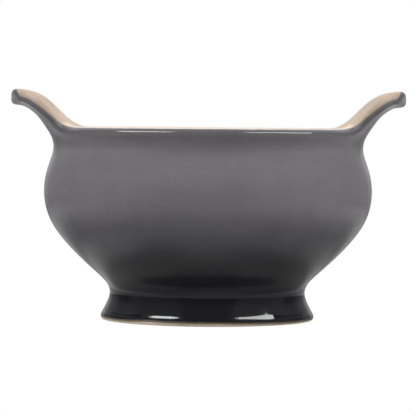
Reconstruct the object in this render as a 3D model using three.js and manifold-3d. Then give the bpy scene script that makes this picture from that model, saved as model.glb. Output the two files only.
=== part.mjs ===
// Footed stoneware soup bowl with two up-swept ear handles.
// Millimetres, +Z up, origin at the centre of the foot's base, +X through the right ear.
// The clay members (wall, foot ring, two ears) are joined by layers of luting slip,
// and three glaze coats lie over them. Every surface is laid out on one set of
// columns round the bowl, so that neighbouring layers keep an even clearance.
import * as THREE from 'three';
import { ParametricGeometry } from 'three/addons/geometries/ParametricGeometry.js';
import { mergeVertices } from 'three/addons/utils/BufferGeometryUtils.js';
import Module from 'manifold-3d';

// ---- driving dimensions -------------------------------------------------
const GLAZE = 0.45;            // thickness of a glaze coat
const GAP = 0.05;              // clearance between a coat and the clay under it
const CORE = GLAZE + GAP;      // depth of the clay surface under the finished surface
const WALL_T = 5.5;            // finished wall thickness at the neck and plain rim
const EAR_EXTRA_T = 1.4;       // the ears are this much thicker at the tip
const RIM_MID_Z = 79.55;       // centre of the rounded plain rim
const NECK_Z = 73.7;           // narrowest level of the outside, where the flare starts
const GLAZE_LINE_Z = 1.0;      // lower end of the outside glaze on the foot
const WALL_BOTTOM_Z = 10.8;    // underside of the bowl wall, on the slip
const FOOT_TOP_Z = 9.8;        // top of the foot ring, under the slip
const EAR_JOINT_Z = 77.6;      // level of the handle's luted joint
const EAR_SLIP_T = 0.9;        // thickness of that slip
const EAR_SECTOR_DEG = 43;     // half width of the rim length that the handle carries
const JOINT_GAP = 0.12;        // clearance on each joint face
const N_EAR = 9;               // columns from an ear's centre to the plain rim
const N_RIM = 4;               // columns from there to the front or back

// Finished outside profile (radius, height), from the foot up to beyond the ear's tip.
const OUTER = [
  [45.7, 0.2], [45.83, 0.7], [45.93, 1.4], [45.87, 2.0], [45.66, 2.6], [45.28, 3.3], [44.81, 4.1], [44.29, 5.1], [43.75, 6.2],
  [43.22, 7.3], [42.74, 8.4], [42.39, 9.5], [42.17, 10.7], [42.1, 11.9], [42.8, 14.5], [45.06, 17.45], [49.3, 21.35],
  [54.88, 26.5], [61.12, 33.0], [66.05, 39.5], [69.17, 46.0], [70.6, 54.8], [69.85, 62.0], [67.85, 68.6], [66.65, 73.7],
  [67.45, 77.9], [69.95, 82.2], [72.9, 86.45], [75.05, 88.95], [77.2, 90.6], [79.6, 91.45], [82.2, 91.72], [85.0, 91.78],
  [88.0, 91.8],
];
// Inside floor (radius, height), from the lower wall to the axis and just past it.
const FLOOR = [
  [50.7, 31.0], [44.6, 26.3], [37.5, 22.2], [29.0, 19.2], [19.5, 17.6], [10.0, 17.0], [0.0, 16.9], [-10.0, 17.0],
];
// Edge of the ear's middle surface: half width y and reach r, from the tip to the rim.
const EAR_EDGE = [
  [0, 81.36], [5, 81.27], [10, 80.46], [14.5, 78.72], [18, 76.38], [20.4, 74.04], [21.7, 72.11],
  [22.7, 69.9], [24.0, 68.25], [26.2, 66.8], [29.4, 65.8], [33.6, 65.3], [38.5, 65.18],
];
const RIM_R_REF = 67;          // radius that turns the rim's angle into a length
const SQUARE = 3;              // squareness of the rounded edges: 2 is a half circle

// ---- curves -------------------------------------------------------------
// Natural cubic spline by chord length, in the plane.
class Spline {
  constructor(points) {
    this.p = points.map(([x, y]) => new THREE.Vector2(x, y));
    const n = this.p.length;
    this.t = [0];
    for (let i = 1; i < n; i++) this.t.push(this.t[i - 1] + this.p[i].distanceTo(this.p[i - 1]));
    this.m = Array.from({ length: n }, () => new THREE.Vector2());
    const c = new Array(n).fill(0), d = Array.from({ length: n }, () => new THREE.Vector2());
    for (let i = 1; i < n - 1; i++) {
      const h0 = this.t[i] - this.t[i - 1], h1 = this.t[i + 1] - this.t[i];
      const rhs = this.p[i + 1].clone().sub(this.p[i]).divideScalar(h1)
        .sub(this.p[i].clone().sub(this.p[i - 1]).divideScalar(h0)).multiplyScalar(6);
      const w = 2 * (h0 + h1) - h0 * c[i - 1];
      c[i] = h1 / w;
      d[i].copy(rhs.sub(d[i - 1].clone().multiplyScalar(h0)).divideScalar(w));
    }
    for (let i = n - 2; i > 0; i--) this.m[i].copy(d[i]).sub(this.m[i + 1].clone().multiplyScalar(c[i]));
  }
  get end() { return this.t[this.t.length - 1]; }
  at(u) {
    u = Math.min(Math.max(u, 0), this.end);
    let i = 0;
    while (i < this.t.length - 2 && u > this.t[i + 1]) i++;
    const h = this.t[i + 1] - this.t[i], a = this.t[i + 1] - u, b = u - this.t[i];
    const f = (k) => {
      const m0 = this.m[i][k], m1 = this.m[i + 1][k], p0 = this.p[i][k], p1 = this.p[i + 1][k];
      const A = p0 / h - m0 * h / 6, B = p1 / h - m1 * h / 6;
      return [m0 * a ** 3 / (6 * h) + m1 * b ** 3 / (6 * h) + A * a + B * b,
        -m0 * a * a / (2 * h) + m1 * b * b / (2 * h) - A + B];
    };
    const [x, dx] = f('x'), [y, dy] = f('y'), l = Math.hypot(dx, dy);
    return { r: x, z: y, nr: dy / l, nz: -dx / l };   // point and right-hand normal
  }
}
const smooth = (x) => { x = Math.min(Math.max(x, 0), 1); return x * x * (3 - 2 * x); };
const bisect = (f, lo, hi) => {          // f rises through zero
  for (let i = 0; i < 60; i++) { const m = (lo + hi) / 2; if (f(m) < 0) lo = m; else hi = m; }
  return (lo + hi) / 2;
};

const outer = new Spline(OUTER);
const thickness = (z) => WALL_T + EAR_EXTRA_T * smooth((z - 79) / 12);
const uAtZ = (z) => bisect((u) => outer.at(u).z - z, 0, outer.end);
const mid = (u) => { const o = outer.at(u), t = thickness(o.z) / 2; return { r: o.r - o.nr * t, z: o.z - o.nz * t }; };
const U_NECK = uAtZ(NECK_Z);
const uAtMidZ = (z) => bisect((u) => mid(u).z - z, U_NECK - 4, outer.end);
const uAtMidR = (r) => bisect((u) => mid(u).r - r, U_NECK + 0.3, outer.end);

// Inside profile: the outside offset by the wall, run on into the floor.
const inner = new Spline([
  ...[84, 79, 73.7, 68.6, 62, 54.8, 46, 39.5, 33].map((z) => {
    const o = outer.at(uAtZ(z)), t = thickness(z) + 0.4 * smooth((46 - z) / 15);
    return [o.r - o.nr * t, o.z - o.nz * t];
  }), ...FLOOR]);
const V_NECK = inner.t[2];
const vAtZ = (z) => bisect((v) => z - inner.at(v).z, V_NECK, inner.end - 20);
const vAtR = (r) => bisect((v) => r - inner.at(v).r, V_NECK + 30, inner.end);

// ---- the flare and the ears ---------------------------------------------
// Middle surface: turned like the wall at the rim, flat across at an ear's tip.
const surf = (th, u) => {
  const m = mid(u), k = 1 - smooth((m.z - 80) / 16);
  return new THREE.Vector3(m.r - k * m.r * (1 - Math.cos(th)), m.r * Math.sin(th), m.z);
};
const surfNormal = (th, u) => {
  const a = surf(th + 1e-3, u).sub(surf(th - 1e-3, u)), b = surf(th, u + 0.02).sub(surf(th, u - 0.02));
  return a.cross(b).normalize();
};
const RIM_MID_R = mid(uAtMidZ(RIM_MID_Z)).r;
const edgeCurve = new Spline([
  ...EAR_EDGE.map(([y, r]) => [RIM_R_REF * Math.asin(y / r), r]),
  ...[42, 52, 65, 78, 90].map((d) => [RIM_R_REF * THREE.MathUtils.degToRad(d), RIM_MID_R])]);
const edgeAt = (s) => {
  const q = edgeCurve.at(s);
  return { th: q.r / RIM_R_REF, u: uAtMidR(q.z) };
};
const edgePoint = (s) => { const e = edgeAt(s); return surf(e.th, e.u); };

// Columns of one quarter, from the ear's centre (0) to the front (N_EAR + N_RIM).
const NQ = N_EAR + N_RIM;
const sPlain = bisect((s) => edgeAt(s).th - THREE.MathUtils.degToRad(40), 0, edgeCurve.end);
const arc = [0];
const FINE = 400;
for (let i = 1; i <= FINE; i++) {
  arc.push(arc[i - 1] + edgePoint(sPlain * i / FINE).distanceTo(edgePoint(sPlain * (i - 1) / FINE)));
}
const columns = [];
for (let j = 0; j <= NQ; j++) {
  let s, thBase;
  if (j <= N_EAR) {
    const want = arc[FINE] * j / N_EAR;
    let i = 0;
    while (i < FINE - 1 && arc[i + 1] < want) i++;
    s = sPlain * (i + (want - arc[i]) / (arc[i + 1] - arc[i])) / FINE;
    thBase = THREE.MathUtils.degToRad(40) * j / N_EAR;
  } else {
    const th = THREE.MathUtils.degToRad(40 + 50 * (j - N_EAR) / N_RIM);
    s = bisect((q) => edgeAt(q).th - th, 0, edgeCurve.end);
    thBase = th;
  }
  const e = edgeAt(s), E = surf(e.th, e.u), N = surfNormal(e.th, e.u);
  const T = j === 0 ? new THREE.Vector3(0, 1, 0) : j === NQ ? new THREE.Vector3(-1, 0, 0)
    : edgePoint(s + 0.05).sub(edgePoint(s - 0.05)).normalize();
  const C = N.clone().cross(T).normalize();
  // the two glazes meet half way round the edge, and on the top face at the ear's tip
  const split = 90 + 12 * (1 - smooth((E.x - 50) / 10)) + 62 * (1 - smooth((E.y - 9) / 9)) * (E.z > 88 ? 1 : 0);
  columns.push({ e, E, N, C, thBase, rho: thickness(outer.at(e.u).z) / 2, split });
}

// ---- rows of a section --------------------------------------------------
const turned = (pt, d, th) => {          // profile point moved d into the wall, turned to th
  const r = pt.r - pt.nr * d, z = pt.z - pt.nz * d;
  return new THREE.Vector3(r * Math.cos(th), r * Math.sin(th), z);
};
const outsideRow = (z) => { const o = outer.at(uAtZ(z)); return (c, d) => turned(o, d, c.thBase); };
const flareRow = (lam, side) => (c, d) => {
  const u = U_NECK + (c.e.u - U_NECK) * lam, th = c.thBase + (c.e.th - c.thBase) * lam;
  const half = thickness(outer.at(u).z) / 2;
  return surf(th, u).addScaledVector(surfNormal(th, u), side * (half - d));
};
const edgeRow = (beta) => (c, d) => {
  const b = THREE.MathUtils.degToRad(beta(c)), p = 2 / SQUARE;
  const a = Math.cos(b), x = Math.sign(a) * Math.abs(a) ** p, y = Math.abs(Math.sin(b)) ** p;
  return c.E.clone().addScaledVector(c.N, (c.rho - d) * x).addScaledVector(c.C, (c.rho - d) * y);
};
const insideRow = (v) => { const p = inner.at(v); const q = { r: p.r, z: p.z, nr: p.nr, nz: p.nz }; return (c, d) => turned(q, d, c.thBase); };
const ringRow = (r, z) => (c) => new THREE.Vector3(r * Math.cos(c.thBase), r * Math.sin(c.thBase), z);

const footZ = [2.4, 4.3, 6.6, 9.2];
const bodyZ = [11.9, 14.4, 17.4, 21.6, 27.5, 35, 43.5, 54, 62.5, 69, 73.7];
const footRows = footZ.map(outsideRow), bodyRows = bodyZ.map(outsideRow);
const flareOut = [1 / 3, 2 / 3].map((l) => flareRow(l, 1));
const flareIn = [2 / 3, 1 / 3].map((l) => flareRow(l, -1));
const wallIn = [...[73.7, 66, 54, 43, 34, 27].map((z) => insideRow(z > 73 ? V_NECK : vAtZ(z))),
  ...[38, 22].map((r) => insideRow(vAtR(r)))];
const floorCentre = inner.at(vAtR(0)).z;
const axisRow = (z) => () => new THREE.Vector3(0, 0, z);
const roundRows = [edgeRow(() => 0), edgeRow((c) => c.split / 3), edgeRow((c) => 2 * c.split / 3), edgeRow((c) => c.split),
  edgeRow((c) => (c.split + 180) / 2), edgeRow(() => 180)];

// ---- closed surfaces ----------------------------------------------------
// Columns run once round the bowl; a section is a list of [row, depth].
// Both faces of a coat split their quads along the same diagonal, so the coat stays even:
// crossed gives the section steps that run back along the rows.
const RING = [];
for (let j = 0; j < NQ; j++) RING.push([j, 1, 1]);
for (let j = NQ; j > 0; j--) RING.push([j, -1, 1]);
for (let j = 0; j < NQ; j++) RING.push([j, -1, -1]);
for (let j = NQ; j > 0; j--) RING.push([j, 1, -1]);

function sweep(section, crossed = () => false) {
  const grid = section.map(([row, d]) => RING.map(([j, sx, sy]) => {
    const p = row(columns[j], d);
    return new THREE.Vector3(sx * p.x, sy * p.y, p.z);
  }));
  const slices = RING.length, stacks = section.length - 1;
  const geometry = new ParametricGeometry((u, v, target) => {
    target.copy(grid[Math.round(v * stacks)][Math.round(u * slices) % slices]);
  }, slices, stacks);
  const index = [];
  for (let i = 0; i < stacks; i++) {
    for (let j = 0; j < slices; j++) {
      const a = i * (slices + 1) + j, b = a + 1, c = b + slices + 1, d = a + slices + 1;
      if (crossed(i)) index.push(a, b, c, a, c, d); else index.push(a, b, d, b, c, d);
    }
  }
  geometry.setIndex(index);
  return tidy(geometry);
}
// Shared corners merged, and the empty triangles at the axis dropped.
function tidy(geometry) {
  geometry.deleteAttribute('normal');
  geometry.deleteAttribute('uv');
  const merged = mergeVertices(geometry, 1e-4);
  const index = merged.getIndex(), keep = [];
  for (let i = 0; i < index.count; i += 3) {
    const [a, b, c] = [index.getX(i), index.getX(i + 1), index.getX(i + 2)];
    if (a !== b && b !== c && c !== a) keep.push(a, b, c);
  }
  merged.setIndex(keep);
  return merged;
}

const wasm = await Module();
wasm.setup();
const toSolid = (geometry) => {
  const g = tidy(geometry);
  return new wasm.Manifold(new wasm.Mesh({
    numProp: 3,
    vertProperties: new Float32Array(g.getAttribute('position').array),
    triVerts: new Uint32Array(g.getIndex().array),
  }));
};
const toGeometry = (solid) => {
  const m = solid.getMesh();
  const g = new THREE.BufferGeometry();
  g.setAttribute('position', new THREE.BufferAttribute(new Float32Array(m.vertProperties), 3));
  g.setIndex(new THREE.BufferAttribute(new Uint32Array(m.triVerts), 1));
  g.computeVertexNormals();
  return g;
};

// Clay of wall and ears together, before it is parted at the luted joints.
const clay = sweep([
  [axisRow(WALL_BOTTOM_Z), 0], [ringRow(22, WALL_BOTTOM_Z), 0], [outsideRow(WALL_BOTTOM_Z), CORE],
  ...bodyRows.map((r) => [r, CORE]), ...flareOut.map((r) => [r, CORE]),
  ...roundRows.map((r) => [r, CORE]),
  ...flareIn.map((r) => [r, CORE]), ...wallIn.map((r) => [r, CORE]), [axisRow(floorCentre - CORE), 0],
]);

// Upright wedge over one ear, from z0 up to z1.
function sector(halfDeg, z0, z1, side) {
  const a = THREE.MathUtils.degToRad(halfDeg), shape = new THREE.Shape();
  shape.moveTo(30 * Math.cos(a), -30 * Math.sin(a));
  shape.lineTo(130 * Math.cos(a), -130 * Math.sin(a));
  shape.lineTo(130 * Math.cos(a), 130 * Math.sin(a));
  shape.lineTo(30 * Math.cos(a), 30 * Math.sin(a));
  shape.closePath();
  const g = new THREE.ExtrudeGeometry(shape, { depth: z1 - z0, bevelEnabled: false });
  g.translate(0, 0, z0);
  if (side < 0) g.rotateZ(Math.PI);
  return toSolid(g);
}
const claySolid = toSolid(clay.clone());
const slip0 = EAR_JOINT_Z - EAR_SLIP_T;
let wallSolid = claySolid;
const earPieces = {};
for (const [name, side] of [['right', 1], ['left', -1]]) {
  wallSolid = wallSolid.subtract(sector(EAR_SECTOR_DEG, slip0 - JOINT_GAP, 120, side));
  earPieces[`${name}_handle`] = claySolid.intersect(sector(EAR_SECTOR_DEG - 0.2, EAR_JOINT_Z + JOINT_GAP, 120, side));
  earPieces[`${name}_handle_luting`] = claySolid.intersect(sector(EAR_SECTOR_DEG - 0.2, slip0, EAR_JOINT_Z, side));
}

// Foot ring: bare flat resting face, flared outside, open recess inside.
const foot = sweep([
  [ringRow(40.4, 0), 0], [ringRow(44.9, 0), 0], [ringRow(45.3, 0.22), 0], [outsideRow(GLAZE_LINE_Z), CORE],
  ...footRows.map((r) => [r, CORE]), [outsideRow(FOOT_TOP_Z), CORE],
  [ringRow(36.6, FOOT_TOP_Z), 0], [ringRow(37.2, 7.0), 0], [ringRow(38.6, 2.4), 0], [ringRow(39.6, 0.5), 0],
  [ringRow(40.4, 0), 0],
]);
const footSlip = sweep([
  [ringRow(36.9, FOOT_TOP_Z + 0.1), 0], [ringRow(41.4, FOOT_TOP_Z + 0.1), 0],
  [ringRow(41.4, WALL_BOTTOM_Z - 0.1), 0], [ringRow(36.9, WALL_BOTTOM_Z - 0.1), 0], [ringRow(36.9, FOOT_TOP_Z + 0.1), 0],
]);

// Outside coat, from the glaze line on the foot to half way round the rim and ear edges.
const outRows = [outsideRow(GLAZE_LINE_Z), ...footRows, ...bodyRows, ...flareOut,
  edgeRow(() => 0), edgeRow((c) => c.split / 3), edgeRow((c) => 2 * c.split / 3), edgeRow((c) => c.split - 2.5)];
const outerCoat = sweep([
  ...outRows.map((r) => [r, GLAZE]), ...[...outRows].reverse().map((r) => [r, 0]), [outRows[0], GLAZE],
], (i) => i >= outRows.length);

// Inside coat, from the middle of the floor to the same line on the edges.
const inRows = [edgeRow((c) => c.split + 2.5), edgeRow((c) => (c.split + 180) / 2), edgeRow(() => 180), ...flareIn, ...wallIn];
const innerCoat = sweep([
  [axisRow(floorCentre), 0], ...[...inRows].reverse().map((r) => [r, 0]),
  ...inRows.map((r) => [r, GLAZE]), [axisRow(floorCentre - GLAZE), 0],
], (i) => i <= inRows.length);

// Coat inside the foot recess, with its pooled fillet.
const wellCoat = sweep([
  [axisRow(10.4), 0], [ringRow(28, 10.4), 0], [ringRow(33.5, 10.1), 0], [ringRow(35.6, 9.0), 0], [ringRow(36.6, 6.9), 0],
  [ringRow(38.0, 2.5), 0], [ringRow(38.4, 2.6), 0], [ringRow(37.1, 7.0), 0], [ringRow(36.5, 9.8), 0],
  [ringRow(36.5, 10.74), 0], [axisRow(10.74), 0],
]);

// ---- assembly -----------------------------------------------------------
const finish = (color, roughness) => new THREE.MeshStandardMaterial({ color, roughness, metalness: 0 });
const stoneware = () => finish(0xa89885, 0.9);
const slipClay = () => finish(0xb5a58f, 0.95);

const bowl = new THREE.Group();
function place(name, geometry, material) {
  geometry.computeVertexNormals();
  const mesh = new THREE.Mesh(geometry, material);
  mesh.name = name;
  bowl.add(mesh);
}
// Turns a surface right side out: the signed volume of a solid is positive.
function outward(geometry) {
  const p = geometry.getAttribute('position'), ix = geometry.getIndex();
  const [a, b, c] = [new THREE.Vector3(), new THREE.Vector3(), new THREE.Vector3()];
  let volume = 0;
  for (let i = 0; i < ix.count; i += 3) {
    a.fromBufferAttribute(p, ix.getX(i)); b.fromBufferAttribute(p, ix.getX(i + 1)); c.fromBufferAttribute(p, ix.getX(i + 2));
    volume += a.dot(b.cross(c)) / 6;
  }
  if (volume < 0) for (let i = 0; i < ix.count; i += 3) { const t = ix.getX(i); ix.setX(i, ix.getX(i + 1)); ix.setX(i + 1, t); }
  return geometry;
}
place('bowl_wall', toGeometry(wallSolid), stoneware());
place('foot_ring', outward(foot), stoneware());
place('left_handle', toGeometry(earPieces.left_handle), stoneware());
place('right_handle', toGeometry(earPieces.right_handle), stoneware());
place('left_handle_luting', toGeometry(earPieces.left_handle_luting), slipClay());
place('right_handle_luting', toGeometry(earPieces.right_handle_luting), slipClay());
place('foot_luting', outward(footSlip), slipClay());
place('outer_glaze', outward(outerCoat), finish(0x5f5c60, 0.22));
place('inner_glaze', outward(innerCoat), finish(0xbeac98, 0.25));
place('underside_glaze', outward(wellCoat), finish(0x1c1d20, 0.2));

export default bowl;
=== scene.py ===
import math

import bmesh
import bpy
import numpy as np
from mathutils import Matrix, Vector


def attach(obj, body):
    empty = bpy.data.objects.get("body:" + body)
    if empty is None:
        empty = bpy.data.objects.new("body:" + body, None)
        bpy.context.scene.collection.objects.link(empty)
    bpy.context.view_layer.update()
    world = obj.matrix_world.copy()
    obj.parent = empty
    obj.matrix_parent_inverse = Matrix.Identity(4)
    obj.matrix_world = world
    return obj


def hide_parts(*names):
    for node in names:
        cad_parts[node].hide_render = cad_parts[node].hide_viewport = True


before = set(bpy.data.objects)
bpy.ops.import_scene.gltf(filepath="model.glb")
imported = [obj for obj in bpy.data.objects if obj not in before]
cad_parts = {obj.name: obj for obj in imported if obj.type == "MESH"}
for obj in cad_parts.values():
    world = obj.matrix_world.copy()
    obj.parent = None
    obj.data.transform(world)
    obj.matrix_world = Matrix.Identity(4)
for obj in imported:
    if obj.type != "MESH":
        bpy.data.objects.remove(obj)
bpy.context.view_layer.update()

# ---------------------------------------------------------------- dimensions
GLAZE = 0.45          # thickness of a glaze coat
CORE = 0.50           # depth of the clay under the finished surface
WALL_T = 5.5          # finished wall thickness at the neck and plain rim
EAR_EXTRA_T = 1.4     # the ears are this much thicker at the tip
RIM_MID_Z = 79.55     # centre of the rounded plain rim
NECK_Z = 73.7         # narrowest level of the outside, where the flare starts
GLAZE_LINE_Z = 1.0    # mean level of the glaze line on the foot
WALL_BOTTOM_Z = 10.8  # underside of the bowl wall
FOOT_TOP_Z = 9.8      # top of the foot ring
EAR_JOINT_Z = 77.6    # level of the luted joint under an ear
EAR_SLIP_T = 0.9      # thickness of the slip there
EAR_SECTOR_DEG = 43.0
JOINT_GAP = 0.12
RIM_R_REF = 67.0
SQUARE = 3.0          # squareness of the rounded edges: 2 is a half circle
SEAM = 0.012          # half of the gap between the two coats where they meet
N_EAR = 60            # columns from an ear's centre to the plain rim
N_RIM = 24            # columns from there to the front or back

OUTER = [
    (45.7, 0.2), (45.83, 0.7), (45.93, 1.4), (45.87, 2.0), (45.66, 2.6), (45.28, 3.3), (44.81, 4.1), (44.29, 5.1), (43.75, 6.2),
    (43.22, 7.3), (42.74, 8.4), (42.39, 9.5), (42.17, 10.7), (42.1, 11.9), (42.8, 14.5), (45.06, 17.45), (49.3, 21.35),
    (54.88, 26.5), (61.12, 33.0), (66.05, 39.5), (69.17, 46.0), (70.6, 54.8), (69.85, 62.0), (67.85, 68.6), (66.65, 73.7),
    (67.45, 77.9), (69.95, 82.2), (72.9, 86.45), (75.05, 88.95), (77.2, 90.6), (79.6, 91.45), (82.2, 91.72), (85.0, 91.78),
    (88.0, 91.8),
]
FLOOR = [
    (50.7, 31.0), (44.6, 26.3), (37.5, 22.2), (29.0, 19.2), (19.5, 17.6), (10.0, 17.0), (0.0, 16.9), (-10.0, 17.0),
]
EAR_EDGE = [
    (0, 81.36), (5, 81.27), (10, 80.46), (14.5, 78.72), (18, 76.38), (20.4, 74.04), (21.7, 72.11),
    (22.7, 69.9), (24.0, 68.25), (26.2, 66.8), (29.4, 65.8), (33.6, 65.3), (38.5, 65.18),
]


# ---------------------------------------------------------------- curves
class Spline:
    """Natural cubic spline by chord length, in the plane of the profile."""

    def __init__(self, points):
        p = np.array(points, float)
        n = len(p)
        h = np.hypot(p[1:, 0] - p[:-1, 0], p[1:, 1] - p[:-1, 1])
        a, rhs = np.eye(n), np.zeros((n, 2))
        for i in range(1, n - 1):
            a[i, i - 1:i + 2] = h[i - 1], 2 * (h[i - 1] + h[i]), h[i]
            rhs[i] = 6 * ((p[i + 1] - p[i]) / h[i] - (p[i] - p[i - 1]) / h[i - 1])
        self.p, self.h, self.m = p, h, np.linalg.solve(a, rhs)
        self.t = np.concatenate(([0.0], np.cumsum(h)))
        self.end = self.t[-1]

    def at(self, u):
        """Radius, height and right-hand normal."""
        u = np.clip(np.asarray(u, float), 0, self.end)
        i = np.clip(np.searchsorted(self.t, u, side="left") - 1, 0, len(self.h) - 1)
        h, a, b = self.h[i][..., None], (self.t[i + 1] - u)[..., None], (u - self.t[i])[..., None]
        m0, m1 = self.m[i], self.m[i + 1]
        f, g = self.p[i] / h - m0 * h / 6, self.p[i + 1] / h - m1 * h / 6
        q = m0 * a ** 3 / (6 * h) + m1 * b ** 3 / (6 * h) + f * a + g * b
        d = -m0 * a * a / (2 * h) + m1 * b * b / (2 * h) - f + g
        l = np.hypot(d[..., 0], d[..., 1])
        return q[..., 0], q[..., 1], d[..., 1] / l, -d[..., 0] / l


def smooth(x):
    x = np.clip(x, 0, 1)
    return x * x * (3 - 2 * x)


def thickness(z):
    return WALL_T + EAR_EXTRA_T * smooth((z - 79) / 12)


outer = Spline(OUTER)
U_TAB = np.linspace(0, outer.end, 60001)
R_TAB, Z_TAB, NR_TAB, NZ_TAB = outer.at(U_TAB)
T_TAB = thickness(Z_TAB) / 2
MIDR_TAB, MIDZ_TAB = R_TAB - NR_TAB * T_TAB, Z_TAB - NZ_TAB * T_TAB


def u_at_z(z):
    return np.interp(z, Z_TAB, U_TAB)


U_NECK = float(u_at_z(NECK_Z))
UPPER = U_TAB > U_NECK - 4


def u_at_mid_z(z):
    return np.interp(z, MIDZ_TAB[UPPER], U_TAB[UPPER])


def u_at_mid_r(r):
    keep = U_TAB > U_NECK + 0.3
    return np.interp(r, MIDR_TAB[keep], U_TAB[keep])


def mid(u):
    r, z, nr, nz = outer.at(u)
    t = thickness(z) / 2
    return r - nr * t, z - nz * t


def inside_point(z):
    r, zz, nr, nz = outer.at(u_at_z(z))
    t = thickness(zz) + 0.4 * smooth((46 - zz) / 15)
    return float(r - nr * t), float(zz - nz * t)


inner = Spline([inside_point(z) for z in (84, 79, 73.7, 68.6, 62, 54.8, 46, 39.5, 33)] + FLOOR)
V_NECK = inner.t[2]
V_TAB = np.linspace(V_NECK, inner.end, 40001)
V_AXIS = float(V_TAB[np.argmin(np.abs(inner.at(V_TAB)[0]))])
FLOOR_Z = float(inner.at(V_AXIS)[1])


def surf(th, u):
    """Middle surface: turned like the wall at the rim, flat across at an ear's tip."""
    r, z = mid(u)
    k = 1 - smooth((z - 80) / 16)
    return np.stack([r - k * r * (1 - np.cos(th)), r * np.sin(th), z + 0 * th], -1)


def unit(v):
    return v / np.linalg.norm(v, axis=-1, keepdims=True)


def surf_normal(th, u):
    return unit(np.cross(surf(th + 1e-3, u) - surf(th - 1e-3, u), surf(th, u + 0.02) - surf(th, u - 0.02)))


RIM_MID_R = float(mid(u_at_mid_z(RIM_MID_Z))[0])
edge = Spline(
    [(RIM_R_REF * math.asin(y / r), r) for y, r in EAR_EDGE]
    + [(RIM_R_REF * math.radians(d), RIM_MID_R) for d in (42, 52, 65, 78, 90)])


def edge_at(s):
    x, r = edge.at(s)[:2]
    return x / RIM_R_REF, u_at_mid_r(r)


def edge_point(s):
    return surf(*edge_at(s))


S_TAB = np.linspace(0, edge.end, 20001)
TH_TAB = edge_at(S_TAB)[0]
TAIL = TH_TAB > math.radians(38)
S_PLAIN = float(np.interp(math.radians(40), TH_TAB[TAIL], S_TAB[TAIL]))
S_FINE = np.linspace(0, S_PLAIN, 801)
ARC = np.concatenate(([0.0], np.cumsum(np.linalg.norm(np.diff(edge_point(S_FINE), axis=0), axis=1))))


class Columns:
    """Columns of one quarter: ear columns by share of the ear's edge, plain ones by angle."""

    def __init__(self, shares, degrees):
        shares, th = np.array(shares, float), np.radians(np.array(degrees, float))
        s = np.concatenate([np.interp(shares * ARC[-1], ARC, S_FINE), np.interp(th, TH_TAB[TAIL], S_TAB[TAIL])])
        self.base = np.concatenate([math.radians(40) * shares, th])
        self.th, self.u = edge_at(s)
        self.E, self.N = surf(self.th, self.u), surf_normal(self.th, self.u)
        T = unit(edge_point(s + 0.05) - edge_point(s - 0.05))
        T[0] = 0, 1, 0
        if abs(self.base[-1] - math.pi / 2) < 1e-6:
            T[-1] = -1, 0, 0
        self.C = unit(np.cross(self.N, T))
        self.rho = thickness(outer.at(self.u)[1]) / 2
        # the two glazes meet half way round the edge, and on the top face at the ear's tip
        self.ear = smooth((self.E[:, 2] - 80.2) / 5)
        self.split = 90 + 12 * (1 - smooth((self.E[:, 0] - 50) / 10)) + 62 * (1 - smooth((self.E[:, 1] - 10) / 7)) * (self.E[:, 2] > 88)
        share = SEAM / self.rho
        self.seam = np.degrees(1.5 * share * np.maximum(np.abs(np.cos(np.radians(self.split))), share ** 1.5) ** (1 / 3))


def turned(r, z, th):
    return np.stack([r * np.cos(th), r * np.sin(th), z + 0 * th], -1)


def outside(th, z, d=0.0):
    r, zz, nr, nz = outer.at(u_at_z(z))
    return turned(r - nr * d, zz - nz * d, th)


def inside(th, v, d=0.0):
    r, z, nr, nz = inner.at(v)
    return turned(r - nr * d, z - nz * d, th)


def flare(c, lam, side, d=0.0):
    u, th = U_NECK + (c.u - U_NECK) * lam, c.base + (c.th - c.base) * lam
    half = thickness(outer.at(u)[1]) / 2
    return surf(th, u) + surf_normal(th, u) * (side * (half - d))[..., None]


def squared(b):
    """Half way round an edge, from one face (0) to the other (pi)."""
    a = np.cos(b)
    return np.sign(a) * np.abs(a) ** (2 / SQUARE), np.abs(np.sin(b)) ** (2 / SQUARE)


def rim(c, beta, d=0.0):
    x, y = squared(np.radians(beta + 0 * c.rho))
    k = (c.rho - d)[:, None]
    return c.E + k * (c.N * x[:, None] + c.C * y[:, None])


# ---------------------------------------------------------------- meshes
def build(name, verts, faces, sharp=38, values=None):
    """A closed mesh piece, its faces pointing out, smooth but for true edges."""
    me = bpy.data.meshes.new(name)
    v = np.asarray(verts, float)
    tri = np.array([t for f in faces for t in ((f[0], f[1], f[2]),) + (((f[0], f[2], f[3]),) if len(f) == 4 else ())])
    if np.einsum("ij,ij->i", v[tri[:, 0]], np.cross(v[tri[:, 1]], v[tri[:, 2]])).sum() < 0:
        faces = [f[::-1] for f in faces]
    me.from_pydata((v * 0.001).tolist(), [], faces)
    for key, val in (values or {}).items():
        me.attributes.new(key, "FLOAT", "POINT").data.foreach_set("value", np.asarray(val, np.float32))
    me.update()
    for p in me.polygons:
        p.use_smooth = True
    me.set_sharp_from_angle(angle=math.radians(sharp))
    o = bpy.data.objects.new(name, me)
    bpy.context.scene.collection.objects.link(o)
    return o


def sweep(name, rows, values=None, loop=True, sharp=38):
    """Rows of points round the axis joined into one closed skin. A row of one point lies on the axis."""
    verts, start, faces = [], [], []
    for r in rows:
        r = np.atleast_2d(r)
        start.append((len(verts), len(r)))
        verts.extend(r)
    pairs = [(i, i + 1) for i in range(len(rows) - 1)] + ([(len(rows) - 1, 0)] if loop else [])
    for i, k in pairs:
        (a, na), (b, nb) = start[i], start[k]
        n = max(na, nb)
        for j in range(n):
            j2 = (j + 1) % n
            if na == 1:
                faces.append((a, b + j2, b + j))
            elif nb == 1:
                faces.append((a + j, a + j2, b))
            else:
                faces.append((a + j, a + j2, b + j2, b + j))
    vals = {key: np.concatenate([np.atleast_1d(x) for x in val]) for key, val in (values or {}).items()}
    return build(name, verts, faces, sharp, vals)


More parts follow.
